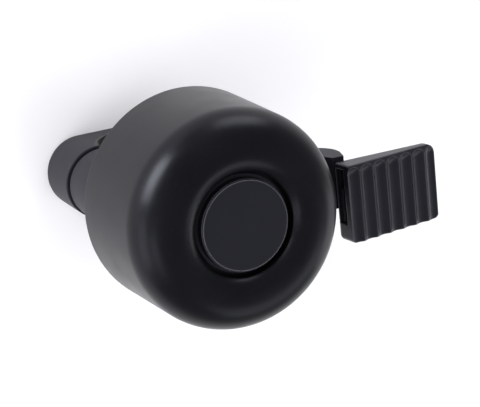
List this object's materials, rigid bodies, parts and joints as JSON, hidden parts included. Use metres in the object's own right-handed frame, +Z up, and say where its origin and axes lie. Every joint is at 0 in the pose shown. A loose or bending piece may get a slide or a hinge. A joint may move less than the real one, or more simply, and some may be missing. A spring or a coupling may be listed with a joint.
{
  "type": "bicycle bell",
  "caption": "Black handlebar bell with a deep dome, a recessed centre cap, a fluted rocking thumb lever and a two-half bar clamp.",
  "frame": {"origin": "centre of the handlebar bore, on the plane where the clamp splits", "axes": "+Y along the handlebar, +Z up the dome's axis away from the bar, +X towards the thumb pad"},
  "size_m": [0.0869, 0.054, 0.078],
  "materials": {
    "dome_paint": "satin",
    "cap_plastic": "satin",
    "base_plastic": "satin",
    "clamp_plastic": "satin",
    "lever_plastic": "matte",
    "pad_plastic": "satin",
    "fastener_steel": "satin",
    "spring_steel": "polished",
    "striker_steel": "satin",
    "post_steel": "satin",
    "isolator_nylon": "matte",
    "liner_rubber": "matte"
  },
  "bodies": {
    "frame": {"base": "base_plastic", "dome": "dome_paint", "dome_cap": "cap_plastic", "dome_screw": "fastener_steel", "dome_washer": "fastener_steel", "isolator_upper": "isolator_nylon", "isolator_lower": "isolator_nylon", "post": "post_steel", "post_washer": "fastener_steel", "post_nut": "fastener_steel", "clamp_lower": "clamp_plastic", "clamp_nuts": "fastener_steel", "clamp_washers": "fastener_steel", "bar_liner_upper": "liner_rubber", "bar_liner_lower": "liner_rubber", "lever_pin": "fastener_steel", "pin_clip": "spring_steel", "return_spring": "spring_steel"},
    "rocker": {"lever": "lever_plastic", "thumb_pad": "pad_plastic", "hammer_rivets": "fastener_steel", "hammer_strip": "spring_steel"},
    "hammer": {"hammer_head": "striker_steel"},
    "screw_right": {"clamp_screw_right": "fastener_steel"},
    "screw_left": {"clamp_screw_left": "fastener_steel"}
  },
  "joints": [
    {"name": "lever_rock", "type": "hinge", "parent": "frame", "child": "rocker", "pos_m": [0.019, -0.0015, 0.0275], "axis": [0, 1, 0], "range_deg": [0, 12], "stiffness_Nm_per_rad": 0.25, "springref_deg": -14.32, "deforming": ["return_spring"]},
    {"name": "hammer_flex", "type": "hinge", "parent": "rocker", "child": "hammer", "pos_m": [0.01845, -0.0015, 0.0369], "axis": [0, 1, 0], "range_deg": [0, 3], "stiffness_Nm_per_rad": 0.3, "springref_deg": -1.15, "deforming": ["hammer_strip"]},
    {"name": "screw_right_turn", "type": "hinge", "parent": "frame", "child": "screw_right", "pos_m": [0.0156, 0, 0], "axis": [0, 0, 1], "continuous": true},
    {"name": "screw_left_turn", "type": "hinge", "parent": "frame", "child": "screw_left", "pos_m": [-0.0156, 0, 0], "axis": [0, 0, 1], "continuous": true}
  ]
}
